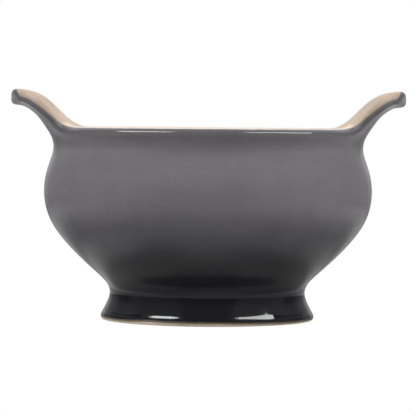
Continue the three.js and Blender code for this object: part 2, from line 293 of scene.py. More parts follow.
full = Columns(np.arange(N_EAR + 1) / N_EAR, 40 + 50 * np.arange(1, N_RIM + 1) / N_RIM)
NQ = N_EAR + N_RIM
RING_J = np.concatenate([np.arange(NQ), np.arange(NQ, 0, -1), np.arange(NQ), np.arange(NQ, 0, -1)])
RING_X = np.repeat([1, -1, -1, 1], NQ)
RING_Y = np.repeat([1, 1, -1, -1], NQ)
RING_TH = np.arctan2(RING_Y * np.sin(full.base[RING_J]), RING_X * np.cos(full.base[RING_J]))


def ring(q):
    """A quarter's points mirrored all the way round."""
    p = np.asarray(q)[RING_J].copy()
    p[:, 0] *= RING_X
    p[:, 1] *= RING_Y
    return p


def around(r, z):
    return turned(r + 0 * RING_TH, z, RING_TH)


def axis(z):
    return np.array([[0.0, 0.0, z]])


# Level of the glaze line from the left (-1) to the right (1) of the foot: wiped by hand, so it wanders.
LINE_AT = (-1.0, -0.8, -0.72, -0.64, -0.56, -0.5, -0.43, -0.33, -0.16, 0.0, 0.16, 0.33, 0.52, 0.64, 0.73, 0.8, 1.0)
LINE_Z = (0.88, 0.93, 1.0, 1.18, 1.4, 1.47, 1.42, 1.3, 1.2, 1.15, 1.1, 0.93, 0.72, 0.6, 0.52, 0.48, 0.47)


def glaze_line(th):
    return np.interp(np.cos(th), LINE_AT, LINE_Z) + 0.025 * np.sin(11 * th + 0.4) + 0.015 * np.sin(23 * th)


# Outside coat: rounded lower lip on the foot, then up the foot, body, flare and edge.
LINE = glaze_line(RING_TH)
Z0 = GLAZE_LINE_Z + 0.42
LOW = np.concatenate([np.linspace(Z0, 6, 18), np.linspace(6.4, 20, 30)[0:], np.linspace(20.9, NECK_Z, 56)])
LAM = np.linspace(0, 1, 25)[1:]
BEAD = np.radians(np.linspace(0, 90, 8))


def lengths(rows):
    """Length along the rows, column by column, from the first row."""
    q = np.array(rows)
    return np.concatenate([np.zeros((1, q.shape[1])), np.cumsum(np.linalg.norm(np.diff(q, axis=0), axis=2), axis=0)])


def coat_rows(d):
    rows, lip, ear, hem = [], [], [], []
    turn_over = [ring(rim(full, (full.split - full.seam) * k, d)) for k in np.linspace(0, 1, 27)]
    far = lengths(turn_over[::-1])[::-1]
    for z in LOW:
        zz = z + (LINE - GLAZE_LINE_Z) * np.clip((6 - z) / (6 - Z0), 0, 1)
        rows.append(outside(RING_TH, zz, d))
        lip.append(far[0] + 30)
        hem.append(zz - LINE)
    for lam in LAM:
        rows.append(ring(flare(full, lam, 1, d)))
        lip.append(far[0] + 25 * (1 - lam))
        hem.append(np.full(len(RING_TH), 40.0))
    for p, f in zip(turn_over[1:], far[1:]):
        rows.append(p)
        lip.append(f)
        hem.append(np.full(len(RING_TH), 40.0))
    return rows, lip, [full.ear[RING_J]] * len(rows), hem


def thinned(*lists):
    """Every third row and the last one, for the side of a coat that lies on the clay."""
    n = len(lists[0])
    keep = [i for i in range(n) if i % 3 == 0 or i == n - 1]
    return [[x[i] for i in keep] for x in lists]


top, top_lip, top_ear, top_hem = coat_rows(0.0)
low, low_lip, low_ear, low_hem = thinned(*coat_rows(GLAZE))
bead, bead_v, bead_hem = [], [], []
for a in BEAD[:-1]:
    zz = LINE + 0.42 * (1 - math.cos(a))
    bead.append(outside(RING_TH, zz, GLAZE * (1 - math.sin(a))))
    bead_v.append(np.full(len(RING_TH), 40.0))
    bead_hem.append(zz - LINE)
outer_glaze = sweep(
    "outer_glaze", bead + top + low[::-1],
    {"lip": bead_v + top_lip + low_lip[::-1], "ear": [0 * x for x in bead_v] + top_ear + low_ear[::-1],
     "hem": bead_hem + top_hem + low_hem[::-1]})

# Inside coat, from the same line on the edges down to the middle of the floor.
V_IN = np.concatenate([np.linspace(V_NECK, V_AXIS - 30, 70), np.linspace(V_AXIS - 30, V_AXIS - 1.2, 22)[1:]])


def lining_rows(d):
    rows, lip, ear = [], [], []
    turn_in = [ring(rim(full, full.split + full.seam + (180 - full.split - full.seam) * k, d)) for k in np.linspace(0, 1, 25)]
    far = lengths(turn_in)
    for p, f in zip(turn_in, far):
        rows.append(p)
        lip.append(f)
        ear.append(full.ear[RING_J])
    for lam in LAM[::-1][1:]:
        rows.append(ring(flare(full, lam, -1, d)))
        lip.append(far[-1] + 25 * (1 - lam))
        ear.append(full.ear[RING_J])
    for v in V_IN:
        rows.append(inside(RING_TH, v, d))
        lip.append(far[-1] + 30)
        ear.append(full.ear[RING_J])
    return rows, lip, ear


top, top_lip, top_ear = lining_rows(0.0)
low, low_lip, low_ear = thinned(*lining_rows(GLAZE))
pole = [np.array([40.0])]
inner_glaze = sweep(
    "inner_glaze", [axis(FLOOR_Z)] + top[::-1] + low + [axis(FLOOR_Z - GLAZE)],
    {"lip": pole + top_lip[::-1] + low_lip + pole, "ear": [np.zeros(1)] + top_ear[::-1] + low_ear + [np.zeros(1)]},
    loop=False)


def rounded(points, radius, steps=5):
    """A closed section with its corners rounded by the given radii."""
    out, n = [], len(points)
    for i, p in enumerate(np.array(points, float)):
        a, b = np.array(points[i - 1], float), np.array(points[(i + 1) % n], float)
        r = radius[i] if isinstance(radius, (list, tuple)) else radius
        if r <= 0:
            out.append(p)
            continue
        da, db = unit(a - p), unit(b - p)
        half = math.acos(float(np.clip(da @ db, -1, 1))) / 2
        cut = min(r / math.tan(half), 0.45 * np.linalg.norm(a - p), 0.45 * np.linalg.norm(b - p))
        for t in np.linspace(0, 1, steps):
            q0, q1 = p + da * cut, p + db * cut
            out.append((1 - t) ** 2 * q0 + 2 * t * (1 - t) * p + t ** 2 * q1)
    return out


# Coat in the foot recess, pooled into its corner.
well = Spline([(0.0, 10.4), (14, 10.42), (26, 10.38), (31.5, 10.2), (34.4, 9.65), (35.9, 8.6), (36.7, 6.6), (37.35, 4.5), (38.0, 2.55)])
w_r, w_z = well.at(np.linspace(0, well.end, 60))[:2]
back_r = np.concatenate([[38.4, 37.75, 37.1, 36.8, 36.5, 36.5], np.linspace(33, 2, 14)])
back_z = np.concatenate([[2.6, 4.8, 7.0, 8.4, 9.8, 10.74], np.full(14, 10.74)])
underside_glaze = sweep(
    "underside_glaze", [axis(10.4)] + [around(r, z) for r, z in zip(w_r[1:], w_z[1:])]
    + [around(38.26, 2.42)] + [around(r, z) for r, z in zip(back_r, back_z)] + [axis(10.74)], loop=False)

# Foot ring of bare clay: worn lower edges, outside hidden by the coat above the glaze line.
def clay_edge(z, depth):
    """A row of the bare clay below the glaze line, nearly flush with the glaze."""
    return turned(outer.at(u_at_z(np.maximum(z, 0.25)))[0] - depth, z, RING_TH)


FOOT_Z = np.concatenate([np.linspace(1.75, 9.6, 24), [FOOT_TOP_Z]])
foot_out = [clay_edge(LINE - 0.14, 0.14), clay_edge(LINE - 0.08, 0.30), clay_edge(LINE - 0.02, 0.52)]
foot_out += [outside(RING_TH, z, CORE) for z in FOOT_Z]
base = rounded([(39.6, 0.5), (40.4, 0.0), (45.05, 0.0), (45.5, 0.16)], [0.6, 0.5, 0.25, 0.12], 6)
base_rows = []
for r, z in base:
    base_rows.append(around(r, z))
foot_in = [around(r, z) for r, z in [(40.4, FOOT_TOP_Z), (38.5, FOOT_TOP_Z), (36.6, FOOT_TOP_Z), (36.9, 8.4), (37.2, 7.0), (37.7, 5.3), (38.2, 3.7), (38.6, 2.4), (39.1, 1.4)]]
foot_ring = sweep("foot_ring", base_rows + foot_out + foot_in)

foot_luting = sweep("foot_luting", [around(r, z) for r, z in rounded(
    [(36.9, 9.9), (41.4, 9.9), (41.4, 10.7), (36.9, 10.7)], 0.25, 4)])


# Clay of the wall, parted from the ears at the luted joints.
def u_where(z, d):
    """Along the outside profile, where the surface at depth d reaches the level z."""
    keep = (Z_TAB > 66) & (Z_TAB < 79)
    return float(np.interp(z, (Z_TAB - NZ_TAB * d)[keep], U_TAB[keep]))


def lathe_point(u, d):
    r, z, nr, nz = outer.at(u)
    return float(r - nr * d), float(z - nz * d)


SLIP_0 = EAR_JOINT_Z - EAR_SLIP_T
CUT_Z = SLIP_0 - JOINT_GAP
IN_D = WALL_T - CORE


def profile(u0, u1, d, n):
    return [lathe_point(u, d) for u in np.linspace(u0, u1, n)]


u_o, u_i = u_where(CUT_Z, CORE), u_where(CUT_Z, IN_D)
N_A, N_B, N_C = 4, 6, 15
wall_cols = Columns(np.arange(N_EAR + 1) / N_EAR, np.concatenate([[41.5, EAR_SECTOR_DEG], [EAR_SECTOR_DEG], np.linspace(45, 90, 19)]))
n_cut = N_EAR + 3
is_cut = np.arange(len(wall_cols.base)) < n_cut
below = [(0.0, WALL_BOTTOM_Z), (14.0, WALL_BOTTOM_Z), (30.0, WALL_BOTTOM_Z), (38.0, WALL_BOTTOM_Z)]
z_out = np.concatenate([[WALL_BOTTOM_Z], np.linspace(12, NECK_Z, 48)])
out_pts = [lathe_point(float(u_at_z(z)), CORE) for z in z_out]
neck_up = profile(U_NECK, u_o, CORE, N_A + 1)[1:]
v_in = np.linspace(V_NECK, V_AXIS - 1.5, 56)
in_pts = [(float(r - nr * CORE), float(z - nz * CORE)) for r, z, nr, nz in (inner.at(v) for v in v_in)]
neck_down = profile(u_i, U_NECK, IN_D, N_A + 1)[1:-1]
p_o, p_i = lathe_point(u_o, CORE), lathe_point(u_i, IN_D)
flat = [(p_o[0] + (p_i[0] - p_o[0]) * t, CUT_Z) for t in np.linspace(0, 1, 2 * N_B + N_C + 1)[1:]]
u_e = float(u_at_mid_z(RIM_MID_Z))
rise = profile(u_o, u_e, CORE, N_B + 1)[1:]
fall = profile(u_e, u_i, IN_D, N_B + 1)
er, ez = (float(x) for x in mid(u_e))
_, _, enr, enz = (float(x) for x in outer.at(u_e))
k_round = WALL_T / 2 - CORE
turn = [(er + k_round * (enr * x - enz * y), ez + k_round * (enz * x + enr * y))
        for x, y in (squared(b) for b in np.radians(np.linspace(0, 180, N_C + 1))[1:-1])]
crown = rise + turn + fall


def both(pts_cut, pts_full):
    """Rows of the wall: one point of the cut section or of the whole one, by column."""
    rows = []
    for (rc, zc), (rf, zf) in zip(pts_cut, pts_full):
        q = turned(np.where(is_cut, rc, rf), np.where(is_cut, zc, zf), wall_cols.base)
        rows.append(np.concatenate([q * (1, 1, 1), q[-2::-1] * (-1, 1, 1), q[1:] * (-1, -1, 1), q[-2:0:-1] * (1, -1, 1)]))
    return rows


wall_rows = [axis(below[0][1])] + both(below[1:], below[1:]) + both(out_pts, out_pts) + both(neck_up, neck_up)
wall_rows += both(flat[:len(crown)], crown) + both(neck_down, neck_down) + both(in_pts, in_pts) + [axis(FLOOR_Z - CORE)]
bowl_wall = sweep("bowl_wall", wall_rows, loop=False)


def clean(o):
    """Joins points that fall together, so that no face is empty."""
    bm = bmesh.new()
    bm.from_mesh(o.data)
    bmesh.ops.remove_doubles(bm, verts=bm.verts, dist=2e-7)
    bmesh.ops.dissolve_degenerate(bm, edges=bm.edges, dist=2e-7)
    bmesh.ops.recalc_face_normals(bm, faces=bm.faces)
    bm.to_mesh(o.data)
    bm.free()
    o.data.set_sharp_from_angle(angle=math.radians(38))


clean(bowl_wall)


def sector_mesh(name, rows, side):
    """Rows of a section that runs once round an ear's clay, closed by a face at each end."""
    grid = np.array(rows)
    m, n = grid.shape[:2]
    grid[..., 0] *= side
    verts, faces = grid.reshape(-1, 3), []
    for i in range(m):
        for j in range(n - 1):
            a, b = i * n + j, ((i + 1) % m) * n + j
            faces.append((a, a + 1, b + 1, b))
    for i in range(m // 2 - 1):
        a, b, c, d = i, i + 1, m - 2 - i, m - 1 - i
        faces.append((a * n, b * n, c * n, d * n))
        faces.append(tuple(x * n + n - 1 for x in (d, c, b, a)))
    o = build(name, verts, faces)
    clean(o)
    return o


ear_cols = Columns(np.arange(N_EAR + 1) / N_EAR, [41.4, EAR_SECTOR_DEG - 0.2])


def two_sided(q):
    return np.concatenate([q[:0:-1] * (1, -1, 1), q])


def from_level(side, z0, n):
    """Rows of an ear's face from the level z0 up to its edge."""
    lo, hi = np.zeros(len(ear_cols.base)), np.ones(len(ear_cols.base))
    for _ in range(40):
        m = (lo + hi) / 2
        under = flare(ear_cols, m, side, CORE)[:, 2] < z0
        lo, hi = np.where(under, m, lo), np.where(under, hi, m)
    return [two_sided(flare(ear_cols, lo + (1 - lo) * t, side, CORE)) for t in np.linspace(0, 1, n)]


N_UP = 20
up, down = from_level(1, EAR_JOINT_Z + JOINT_GAP, N_UP), from_level(-1, EAR_JOINT_Z + JOINT_GAP, N_UP)
round_rows = [two_sided(rim(ear_cols, b, CORE)) for b in np.linspace(0, 180, 18)[1:-1]]
handle_rows = up + round_rows + down[::-1]
slip_th = np.radians(np.linspace(-EAR_SECTOR_DEG + 0.2, EAR_SECTOR_DEG - 0.2, 90))
slip_pts = profile(u_where(SLIP_0, CORE), u_where(EAR_JOINT_Z, CORE), CORE, 5) + profile(u_where(EAR_JOINT_Z, IN_D), u_where(SLIP_0, IN_D), IN_D, 5)
slip_rows = [turned(r, z, slip_th) for r, z in slip_pts]
right_handle = sector_mesh("right_handle", handle_rows, 1)
left_handle = sector_mesh("left_handle", handle_rows, -1)
right_handle_luting = sector_mesh("right_handle_luting", slip_rows, 1)
left_handle_luting = sector_mesh("left_handle_luting", slip_rows, -1)


# ---------------------------------------------------------------- materials
class Nodes:
    """Short hand for a material's node tree."""

    def __init__(self, tree):
        self.t = tree
        self.t.nodes.clear()

    def add(self, kind, **props):
        n = self.t.nodes.new(kind)
        for k, v in props.items():
            setattr(n, k, v)
        return n

    def put(self, socket, value):
        if isinstance(value, bpy.types.NodeSocket):
            self.t.links.new(value, socket)
        else:
            socket.default_value = value

    def math(self, op, a, b=0.0, c=0.0, clamp=False):
        n = self.add("ShaderNodeMath", operation=op, use_clamp=clamp)
        for s, v in zip(n.inputs, (a, b, c)):
            self.put(s, v)
        return n.outputs[0]

    def span(self, x, a, b, lo=0.0, hi=1.0, soft=True):
        n = self.add("ShaderNodeMapRange", interpolation_type="SMOOTHSTEP" if soft else "LINEAR", clamp=True)
        for s, v in zip(n.inputs, (x, a, b, lo, hi)):
            self.put(s, v)
        return n.outputs[0]

    def mix(self, f, a, b, how="MIX"):
        n = self.add("ShaderNodeMix", data_type="RGBA", blend_type=how)
        self.put(n.inputs[0], f)
        self.put(n.inputs[6], a)
        self.put(n.inputs[7], b)
        return n.outputs[2]

    def noise(self, at, scale, detail=2.0, rough=0.5, stretch=None):
        if stretch:
            m = self.add("ShaderNodeMapping")
            self.put(m.inputs["Vector"], at)
            m.inputs["Scale"].default_value = stretch
            at = m.outputs[0]
        n = self.add("ShaderNodeTexNoise")
        self.put(n.inputs["Vector"], at)
        n.inputs["Scale"].default_value = scale
        n.inputs["Detail"].default_value = detail
        n.inputs["Roughness"].default_value = rough
        return n.outputs["Fac"]

    def bump(self, height, distance, strength=1.0, normal=None):
        n = self.add("ShaderNodeBump")
        n.inputs["Strength"].default_value = strength
        n.inputs["Distance"].default_value = distance
        self.put(n.inputs["Height"], height)
        if normal is not None:
            self.put(n.inputs["Normal"], normal)
        return n.outputs[0]

    def ramp(self, x, stops):
        n = self.add("ShaderNodeValToRGB")
        e = n.color_ramp.elements
        while len(e) < len(stops):
            e.new(0.5)
        for el, (p, col) in zip(e, stops):
            el.position = p
            el.color = (*col, 1.0)
        self.put(n.inputs[0], x)
        return n.outputs[0]


def grey(r, g, b):
    """Linear colour from the 0-255 values of a colour as it shows."""
    return tuple((c / 255 / 12.92) if c / 255 <= 0.04045 else ((c / 255 + 0.055) / 1.055) ** 2.4 for c in (r, g, b))


def material(name):
    m = bpy.data.materials.new(name)
    m.use_nodes = True
    n = Nodes(m.node_tree)
    out = n.add("ShaderNodeOutputMaterial")
    b = n.add("ShaderNodeBsdfPrincipled")
    n.t.links.new(b.outputs[0], out.inputs[0])
    at = n.add("ShaderNodeTexCoord").outputs["Object"]
    sep = n.add("ShaderNodeSeparateXYZ")
    n.put(sep.inputs[0], at)
    return m, n, b, at, sep.outputs[2]


def attribute(n, name):
    return n.add("ShaderNodeAttribute", attribute_name=name).outputs["Fac"]


# Height along the body (0 to 100 mm) against the colour of the outside glaze. The fall from grey to black toward the
# foot is the glaze's own; the lighter bands near 54 mm and 73 mm are painted light.
GREY_STOPS_WITH_PAINTED_LIGHT = [
    (0.0, (0.0032, 0.0034, 0.007)),
    (0.125, (0.0032, 0.0034, 0.007)),
    (0.165, (0.016, 0.0161, 0.019)),
    (0.2, (0.0176, 0.0176, 0.0204)),
    (0.26, (0.0184, 0.0182, 0.0206)),
    (0.31, (0.029, 0.0283, 0.0316)),
    (0.36, (0.064, 0.062, 0.068)),
    (0.42, (0.116, 0.112, 0.122)),
    (0.48, (0.169, 0.162, 0.176)),
    (0.54, (0.202, 0.191, 0.206)),
    (0.6, (0.196, 0.183, 0.199)),
    (0.66, (0.183, 0.17, 0.185)),
    (0.7, (0.19, 0.177, 0.192)),
    (0.735, (0.216, 0.202, 0.217)),
    (0.77, (0.184, 0.174, 0.186)),
    (0.8, (0.172, 0.164, 0.174)),
    (1.0, (0.16, 0.154, 0.162)),
]
CREAM = (0.78, 0.72, 0.635, 1.0)

m_grey, n, b, at, z = material("grey_glaze")
cloud = n.noise(at, 34, 3, 0.55)
drift = n.math("MULTIPLY_ADD", n.math("SUBTRACT", cloud, 0.5), 0.006, z)
col = n.ramp(n.span(drift, 0.0, 0.1, soft=False), GREY_STOPS_WITH_PAINTED_LIGHT)
tint = n.span(n.noise(at, 21, 2, 0.5), 0.35, 0.65)
col = n.mix(n.math("MULTIPLY", tint, 0.5), col, (1.0, 0.965, 1.0, 1.0), "MULTIPLY")
fine = n.noise(at, 950, 3, 0.6)
grain = n.span(fine, 0.3, 0.7, 0.93, 1.07, soft=False)
patch = n.span(n.noise(at, 95, 3, 0.55), 0.3, 0.7, 0.96, 1.04, soft=False)
shade = n.math("MULTIPLY", grain, patch)
comb = n.add("ShaderNodeCombineColor")
for s in comb.inputs[:3]:
    n.put(s, shade)
col = n.mix(1.0, col, comb.outputs[0], "MULTIPLY")
lip, ear = attribute(n, "lip"), attribute(n, "ear")
wander = n.math("MULTIPLY", n.math("SUBTRACT", n.noise(at, 260, 3, 0.6), 0.5), 0.7)
overlap_and_painted_shade, painted_sheen_and_shade = [n.ramp(n.span(lip, 0.0, 32.0, soft=False), [(p, (v, v, v)) for p, v in stops]) for stops in (
    ((0.0, 0.62), (0.05, 0.68), (0.09, 1.0), (0.2, 1.0)),
    ((0.0, 1.0), (0.09, 1.0), (0.13, 1.6), (0.19, 1.5), (0.26, 0.75), (0.36, 0.45), (0.58, 0.50), (0.8, 0.8), (0.97, 1.0)))]
wing = n.math("ABSOLUTE", z.node.outputs[0])
# Near the ear's edge the grey is darker where the two coats overlap, and darker again from painted shade.
col = n.mix(n.span(wing, 0.055, 0.066), col, overlap_and_painted_shade, "MULTIPLY")
# Down the flare under the ear: a painted sheen (ramp values over 1), then painted shade (values under 1).
col = n.mix(n.span(wing, 0.066, 0.077), col, painted_sheen_and_shade, "MULTIPLY")
# Painted shade: the grey close to the edge where the ear rises from the rim is darkened.
painted_shade_at_ear_root = n.math("MULTIPLY", n.span(wing, 0.058, 0.062), n.span(wing, 0.065, 0.070, 1.0, 0.0))
col = n.mix(n.math("MULTIPLY", painted_shade_at_ear_root, n.span(lip, 1.0, 5.0, 0.85, 0.0)), col, (0.45, 0.45, 0.45, 1.0), "MULTIPLY")
# Painted sheen: a pale line along the lower corner of the ear's edge stands in for a reflection.
under = n.math("MULTIPLY", n.span(lip, 1.7, 2.5), n.span(lip, 4.2, 7.0, 1.0, 0.0))
under = n.math("MULTIPLY", under, n.span(z, 0.078, 0.093))
under = n.math("MULTIPLY", under, n.math("MULTIPLY", n.span(wing, 0.060, 0.067), n.span(wing, 0.0785, 0.0815, 1.0, 0.2)))
col = n.mix(under, col, (0.46, 0.44, 0.45, 1.0))
# Painted shade: the grey on the outer rolled corner of the plain rim is mixed half way toward near black.
painted_shade_on_rim_roll = n.math("MULTIPLY", n.span(lip, 2.9, 4.1, 0.5, 0.0), n.span(wing, 0.052, 0.064, 1.0, 0.0))
col = n.mix(painted_shade_on_rim_roll, col, (0.05, 0.047, 0.05, 1.0))
broke = n.span(n.math("ADD", lip, wander), 0.15, 1.15, 0.85, 0.0)
col = n.mix(n.math("MULTIPLY", broke, n.span(wing, 0.050, 0.063, 1.0, 0.06)), col, CREAM)
thin = n.math("ADD", attribute(n, "hem"), n.math("MULTIPLY", wander, 0.6))
col = n.mix(n.span(thin, 0.1, 1.1, 0.8, 0.0), col, (0.31, 0.245, 0.185, 1.0))
n.put(b.inputs["Base Color"], col)
gloss = n.span(n.noise(at, 160, 3, 0.6), 0.3, 0.7, 0.045, 0.085, soft=False)
satin = n.math("MULTIPLY", n.span(lip, 1.5, 5.0, 0.50, 0.0), n.span(wing, 0.054, 0.065))
belly = n.math("MULTIPLY", n.span(z, 0.013, 0.019, 0.0, 0.10), n.span(z, 0.066, 0.076, 1.0, 0.0))
n.put(b.inputs["Roughness"], n.math("ADD", n.math("ADD", gloss, belly), satin))
h = n.bump(n.noise(at, 75, 2, 0.5), 0.00010, 0.22)
h = n.bump(n.noise(at, 520, 2, 0.55), 0.000012, 0.5, h)
n.put(b.inputs["Normal"], h)
b.inputs["IOR"].default_value = 1.5

m_sand, n, b, at, z = material("sand_glaze")
cloud = n.noise(at, 60, 4, 0.6)
col = n.mix(n.span(cloud, 0.3, 0.7), (0.645, 0.528, 0.430, 1.0), (0.71, 0.590, 0.492, 1.0))
speck = n.span(n.noise(at, 1500, 2, 0.5), 0.62, 0.74)
col = n.mix(n.math("MULTIPLY", speck, 0.22), col, (0.36, 0.25, 0.16, 1.0))
pool = n.span(z, 0.017, 0.045, 0.22, 0.0)
col = n.mix(pool, col, (0.42, 0.31, 0.21, 1.0))
lip, ear = attribute(n, "lip"), attribute(n, "ear")
wander = n.math("MULTIPLY", n.math("SUBTRACT", n.noise(at, 300, 3, 0.6), 0.5), 0.8)
# Painted shade: the sand on the ears is darker and warmer close to their edge.
painted_shade_near_edge = n.math("MULTIPLY", n.span(n.math("ADD", lip, wander), 2.2, 5.2, 0.92, 0.0), n.span(ear, 0.03, 0.38))
col = n.mix(painted_shade_near_edge, col, (0.50, 0.403, 0.293, 1.0))
col = n.mix(n.span(z, 0.086, 0.0955, 0.0, 0.7), col, (0.47, 0.365, 0.28, 1.0))
broke = n.span(n.math("ADD", lip, wander), 0.25, 1.3, 0.85, 0.0)
wing = n.math("ABSOLUTE", z.node.outputs[0])
col = n.mix(n.math("MULTIPLY", broke, n.span(wing, 0.050, 0.064, 1.0, 0.05)), col, CREAM)
seamed = n.math("MULTIPLY", n.span(n.math("ADD", lip, wander), 0.1, 1.0, 0.6, 0.0), n.span(wing, 0.058, 0.066))
col = n.mix(n.math("MULTIPLY", seamed, n.span(z, 0.088, 0.093, 1.0, 0.3)), col, (0.17, 0.155, 0.15, 1.0))
n.put(b.inputs["Base Color"], col)
n.put(b.inputs["Roughness"], n.span(n.noise(at, 180, 3, 0.6), 0.3, 0.7, 0.38, 0.46, soft=False))
h = n.bump(n.noise(at, 80, 2, 0.5), 0.00010, 0.35)
h = n.bump(n.noise(at, 560, 2, 0.55), 0.000012, 0.5, h)
n.put(b.inputs["Normal"], h)
b.inputs["IOR"].default_value = 1.36

m_black, n, b, at, z = material("black_glaze")
col = n.mix(n.span(n.noise(at, 120, 4, 0.6), 0.3, 0.7), (0.006, 0.0062, 0.0075, 1.0), (0.017, 0.0165, 0.018, 1.0))
rust = n.span(z, 0.0024, 0.0042, 0.75, 0.0)
col = n.mix(n.math("MULTIPLY", rust, n.span(n.noise(at, 420, 3, 0.6), 0.35, 0.65)), col, (0.085, 0.048, 0.026, 1.0))
n.put(b.inputs["Base Color"], col)
n.put(b.inputs["Roughness"], n.span(n.noise(at, 200, 3, 0.6), 0.3, 0.7, 0.08, 0.16, soft=False))
n.put(b.inputs["Normal"], n.bump(n.noise(at, 260, 3, 0.55), 0.00005, 0.4))

m_clay, n, b, at, z = material("stoneware")
grainy = n.noise(at, 1500, 4, 0.65)
col = n.mix(n.span(n.noise(at, 170, 4, 0.6), 0.3, 0.7), (0.80, 0.665, 0.505, 1.0), (0.88, 0.745, 0.585, 1.0))
col = n.mix(n.span(grainy, 0.35, 0.7, 0.0, 0.45), col, (0.90, 0.80, 0.66, 1.0))
dark = n.add("ShaderNodeTexVoronoi", feature="F1")
n.put(dark.inputs["Vector"], at)
dark.inputs["Scale"].default_value = 700
col = n.mix(n.span(dark.outputs["Distance"], 0.10, 0.24, 0.4, 0.0), col, (0.22, 0.155, 0.11, 1.0))
n.put(b.inputs["Base Color"], col)
n.put(b.inputs["Roughness"], n.span(grainy, 0.3, 0.7, 0.74, 0.92, soft=False))
h = n.bump(n.noise(at, 420, 3, 0.6), 0.00006, 0.5)
h = n.bump(grainy, 0.00004, 0.7, h)
n.put(b.inputs["Normal"], h)

m_slip, n, b, at, z = material("luting_slip")
grainy = n.noise(at, 1100, 4, 0.65)
col = n.mix(n.span(grainy, 0.3, 0.7), (0.40, 0.325, 0.245, 1.0), (0.50, 0.42, 0.325, 1.0))
n.put(b.inputs["Base Color"], col)
n.put(b.inputs["Roughness"], n.span(grainy, 0.3, 0.7, 0.82, 0.96, soft=False))
n.put(b.inputs["Normal"], n.bump(grainy, 0.00005, 0.7))

for piece, node, mat, slot in (
    (bowl_wall, "bowl_wall", m_clay, "stoneware"),
    (foot_ring, "foot_ring", m_clay, "stoneware"),
    (left_handle, "left_handle", m_clay, "stoneware"),
    (right_handle, "right_handle", m_clay, "stoneware"),
    (left_handle_luting, "left_handle_luting", m_slip, "luting_slip"),
    (right_handle_luting, "right_handle_luting", m_slip, "luting_slip"),
    (foot_luting, "foot_luting", m_slip, "luting_slip"),
    (outer_glaze, "outer_glaze", m_grey, "grey_glaze"),
    (inner_glaze, "inner_glaze", m_sand, "sand_glaze"),
    (underside_glaze, "underside_glaze", m_black, "black_glaze"),
):
    piece.data.materials.append(mat)
    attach(piece, "root")
    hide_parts(node)

# ---------------------------------------------------------------- floor, light and camera
disc = bmesh.new()
bmesh.ops.create_circle(disc, cap_ends=True, segments=128, radius=1.0)
floor_mesh = bpy.data.meshes.new("floor")
disc.to_mesh(floor_mesh)
disc.free()
floor = bpy.data.objects.new("floor", floor_mesh)
bpy.context.scene.collection.objects.link(floor)
m_floor = bpy.data.materials.new("floor")
m_floor.use_nodes = True
n = Nodes(m_floor.node_tree)
out = n.add("ShaderNodeOutputMaterial")
pale = n.add("ShaderNodeBsdfDiffuse")
clear = n.add("ShaderNodeBsdfTransparent")
at = n.add("ShaderNodeTexCoord").outputs["Object"]
length = n.add("ShaderNodeVectorMath", operation="LENGTH")
n.put(length.inputs[0], at)
fade = n.span(length.outputs["Value"], 0.20, 0.45)
place = n.add("ShaderNodeSeparateXYZ")
n.put(place.inputs[0], at)
ahead = n.math("DIVIDE", n.math("MULTIPLY", place.outputs[1], -1.0), n.math("MAXIMUM", length.outputs["Value"], 0.001))
# Painted shade and light on the floor: darker close round the foot and more so on the right, with a paler ring farther
# out. It shows only in reflections and bounced light.
ring_left, ring_right = [n.ramp(n.span(length.outputs["Value"], 0.05, 0.15, soft=False), [(p, (v, v, v)) for p, v in stops]) for stops in (
    ((0.0, 0.42), (0.07, 0.42), (0.16, 0.84), (0.26, 0.84), (0.45, 0.44), (1.0, 0.42)),
    ((0.0, 0.32), (0.07, 0.32), (0.16, 0.68), (0.26, 0.68), (0.45, 0.43), (1.0, 0.42)))]
painted_floor_shade_and_light = n.mix(n.span(place.outputs[0], -0.03, 0.03), ring_left, ring_right)
n.put(pale.inputs["Color"], n.mix(n.span(ahead, 0.55, 0.93), painted_floor_shade_and_light, (0.44, 0.44, 0.44, 1.0)))
under = n.add("ShaderNodeNewGeometry").outputs["Backfacing"]
direct = n.add("ShaderNodeLightPath").outputs["Is Camera Ray"]
shader = n.add("ShaderNodeMixShader")
n.put(shader.inputs[0], n.math("MAXIMUM", n.math("MAXIMUM", fade, under), direct))
n.t.links.new(pale.outputs[0], shader.inputs[1])
n.t.links.new(clear.outputs[0], shader.inputs[2])
n.t.links.new(shader.outputs[0], out.inputs[0])
floor_mesh.materials.append(m_floor)


def softbox(name, inner, outer_end, height, radiance, cuts, distance=1.9):
    """A flat panel of light turned to the bowl, given by the directions of the two ends of its lower edge.
    A direction is azimuth and elevation; azimuth 0 is the camera's side, + to the right. Its lower corners
    are cut off in steps: each cut is a stretch of its length and how far the edge is raised there."""
    ends = []
    for azimuth, elevation in (inner, outer_end):
        a, e = math.radians(azimuth), math.radians(elevation)
        ends.append(Vector((math.sin(a) * math.cos(e), -math.cos(a) * math.cos(e), math.sin(e))) * distance)
    middle = (ends[0] + ends[1]) / 2
    along, back = (ends[1] - ends[0]).normalized(), middle.normalized()
    rise = back.cross(along)
    if rise.z < 0:
        rise.negate()
    width = (ends[1] - ends[0]).length
    face = Matrix((rise.cross(back), rise, back)).transposed().to_4x4()
    for i, (start, stop, lift) in enumerate(cuts):
        data = bpy.data.lights.new("%s_%d" % (name, i), "AREA")
        data.shape, data.size, data.size_y = "RECTANGLE", width * (stop - start), height
        data.energy = radiance * math.pi * data.size * height
        o = bpy.data.objects.new(data.name, data)
        o.matrix_world = Matrix.Translation(ends[0].lerp(ends[1], (start + stop) / 2) + rise * (lift + height / 2)) @ face
        bpy.context.scene.collection.objects.link(o)


softbox("softbox_left", (-39.0, 50.1), (-81.2, 40.2), 0.50, 14.2, ((0.0, 0.06, 0.125), (0.06, 0.13, 0.08), (0.13, 0.22, 0.04), (0.22, 0.74, 0.0), (0.74, 0.84, 0.03), (0.84, 0.92, 0.07), (0.92, 1.0, 0.115)))
softbox("softbox_right", (37.9, 51.8), (84.5, 33.0), 0.55, 10.0, ((0.0, 0.05, 0.08), (0.05, 0.12, 0.04), (0.12, 0.86, 0.0), (0.86, 0.93, 0.06), (0.93, 1.0, 0.13)))

